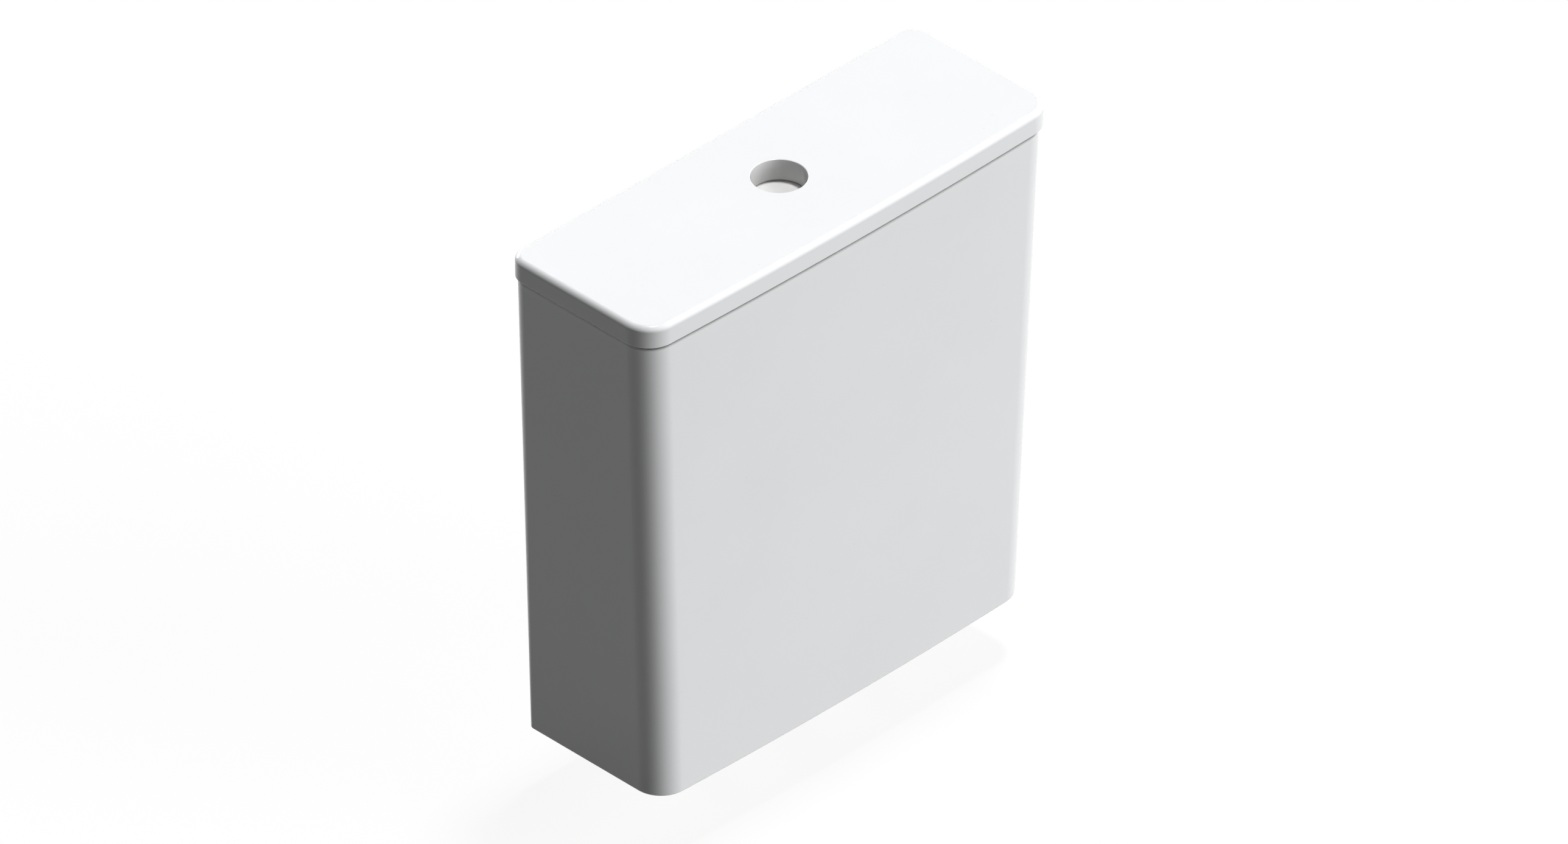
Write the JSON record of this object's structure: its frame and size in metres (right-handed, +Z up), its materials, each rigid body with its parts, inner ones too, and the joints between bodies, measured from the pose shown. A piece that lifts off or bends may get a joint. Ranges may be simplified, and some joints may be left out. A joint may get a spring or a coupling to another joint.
{
  "type": "toilet cistern",
  "caption": "Close-coupled ceramic toilet cistern with lift-off lid, dual-flush valve, bottom-entry fill valve and coupling bolts.",
  "frame": {"origin": "on the outlet's axis, midway between the two coupling bolts, in the plane of the tank's underside", "axes": "+Z up through the push button's hole, +X along the width to the fill valve, +Y to the wall behind"},
  "size_m": [0.376, 0.134, 0.4338],
  "materials": {
    "vitreous_china": "smooth white glaze",
    "white_plastic": "moulded white plastic",
    "grey_plastic": "moulded grey plastic",
    "blue_plastic": "moulded blue plastic",
    "black_rubber": "matt moulded rubber",
    "red_silicone": "soft silicone",
    "steel": "plated steel",
    "brass": "plain brass"
  },
  "bodies": {
    "root": {"tank": "vitreous_china", "coupling_bolts": "brass", "bolt_seals": "black_rubber", "bolt_washers": "steel", "pan_washers": "black_rubber", "wing_nuts": "brass", "doughnut_seal": "black_rubber", "valve_base": "white_plastic", "base_seal": "black_rubber", "valve_backnut": "grey_plastic", "cage": "white_plastic", "guide_plate": "white_plastic", "tower": "white_plastic", "float_stop": "blue_plastic", "head_housing": "white_plastic", "head_cap": "white_plastic", "rocker_pin": "steel", "full_spring": "steel", "half_spring": "steel", "fill_shank": "white_plastic", "shank_seal": "black_rubber", "shank_backnut": "grey_plastic", "inlet_filter": "blue_plastic", "fill_riser": "white_plastic", "height_collar": "grey_plastic", "outlet_sleeve": "grey_plastic", "fill_head": "white_plastic", "fill_cap": "grey_plastic", "diaphragm": "black_rubber", "lever_pin": "steel"},
    "lid_part": {"lid": "vitreous_china"},
    "full_button": {"full_plunger": "white_plastic"},
    "half_button": {"half_plunger": "white_plastic"},
    "full_arm": {"full_rocker": "grey_plastic"},
    "half_arm": {"half_rocker": "grey_plastic"},
    "flush_piston": {"overflow_tube": "blue_plastic", "valve_seal": "red_silicone", "seal_clamp": "blue_plastic", "seal_retainer": "white_plastic", "lift_yoke": "grey_plastic"},
    "half_trip": {"half_link": "grey_plastic"},
    "half_float": {"part_flush_float": "blue_plastic"},
    "inlet_float": {"float_cup": "blue_plastic"},
    "level_screw": {"adjuster_rod": "grey_plastic"},
    "inlet_arm": {"float_lever": "white_plastic"},
    "pilot": {"pilot_pin": "brass"}
  },
  "joints": [
    {"name": "lid_lift", "type": "slide", "parent": "root", "child": "lid_part", "axis": [0, 0, 1], "range_m": [0, 0.16]},
    {"name": "full_flush", "type": "slide", "parent": "root", "child": "full_button", "axis": [0, 0, -1], "range_m": [0, 0.007], "stiffness_N_per_m": 300, "springref_m": -0.01, "deforming": ["full_spring"]},
    {"name": "half_flush", "type": "slide", "parent": "root", "child": "half_button", "axis": [0, 0, -1], "range_m": [0, 0.007], "stiffness_N_per_m": 300, "springref_m": -0.01, "deforming": ["half_spring"]},
    {"name": "full_rocker_turn", "type": "hinge", "parent": "root", "child": "full_arm", "pos_m": [0, 0.0125, 0.3353], "axis": [0, 1, 0], "range_deg": [0, 35]},
    {"name": "valve_lift", "type": "slide", "parent": "root", "child": "flush_piston", "axis": [0, 0, 1], "range_m": [0, 0.0147]},
    {"name": "half_rocker_turn", "type": "hinge", "parent": "root", "child": "half_arm", "pos_m": [0, -0.0125, 0.3353], "axis": [0, 1, 0], "range_deg": [0, 35]},
    {"name": "half_link_lift", "type": "slide", "parent": "root", "child": "half_trip", "axis": [0, 0, 1], "range_m": [0, 0.0147]},
    {"name": "half_float_rise", "type": "slide", "parent": "root", "child": "half_float", "axis": [0, 0, 1], "range_m": [0, 0.04]},
    {"name": "inlet_float_rise", "type": "slide", "parent": "root", "child": "inlet_float", "axis": [0, 0, 1], "range_m": [0, 0.009]},
    {"name": "float_lever_turn", "type": "hinge", "parent": "root", "child": "inlet_arm", "pos_m": [0.129, 0, 0.294], "axis": [0, 1, 0], "range_deg": [0, 17]},
    {"name": "pilot_press", "type": "slide", "parent": "root", "child": "pilot", "axis": [0, 0, -1], "range_m": [0, 0.0016]},
    {"name": "level_screw_turn", "type": "hinge", "parent": "inlet_float", "child": "level_screw", "pos_m": [0.098, 0, 0.24], "axis": [0, 0, 1], "continuous": true}
  ],
  "couplings": [
    {"joint": "full_rocker_turn", "follows": "full_flush", "rad_per_m": 86.254},
    {"joint": "valve_lift", "follows": "full_flush", "ratio": 2.0816},
    {"joint": "half_rocker_turn", "follows": "half_flush", "rad_per_m": 86.254},
    {"joint": "half_link_lift", "follows": "half_flush", "ratio": 2.0816},
    {"joint": "float_lever_turn", "follows": "inlet_float_rise", "rad_per_m": 32.372},
    {"joint": "pilot_press", "follows": "inlet_float_rise", "ratio": 0.16667}
  ]
}
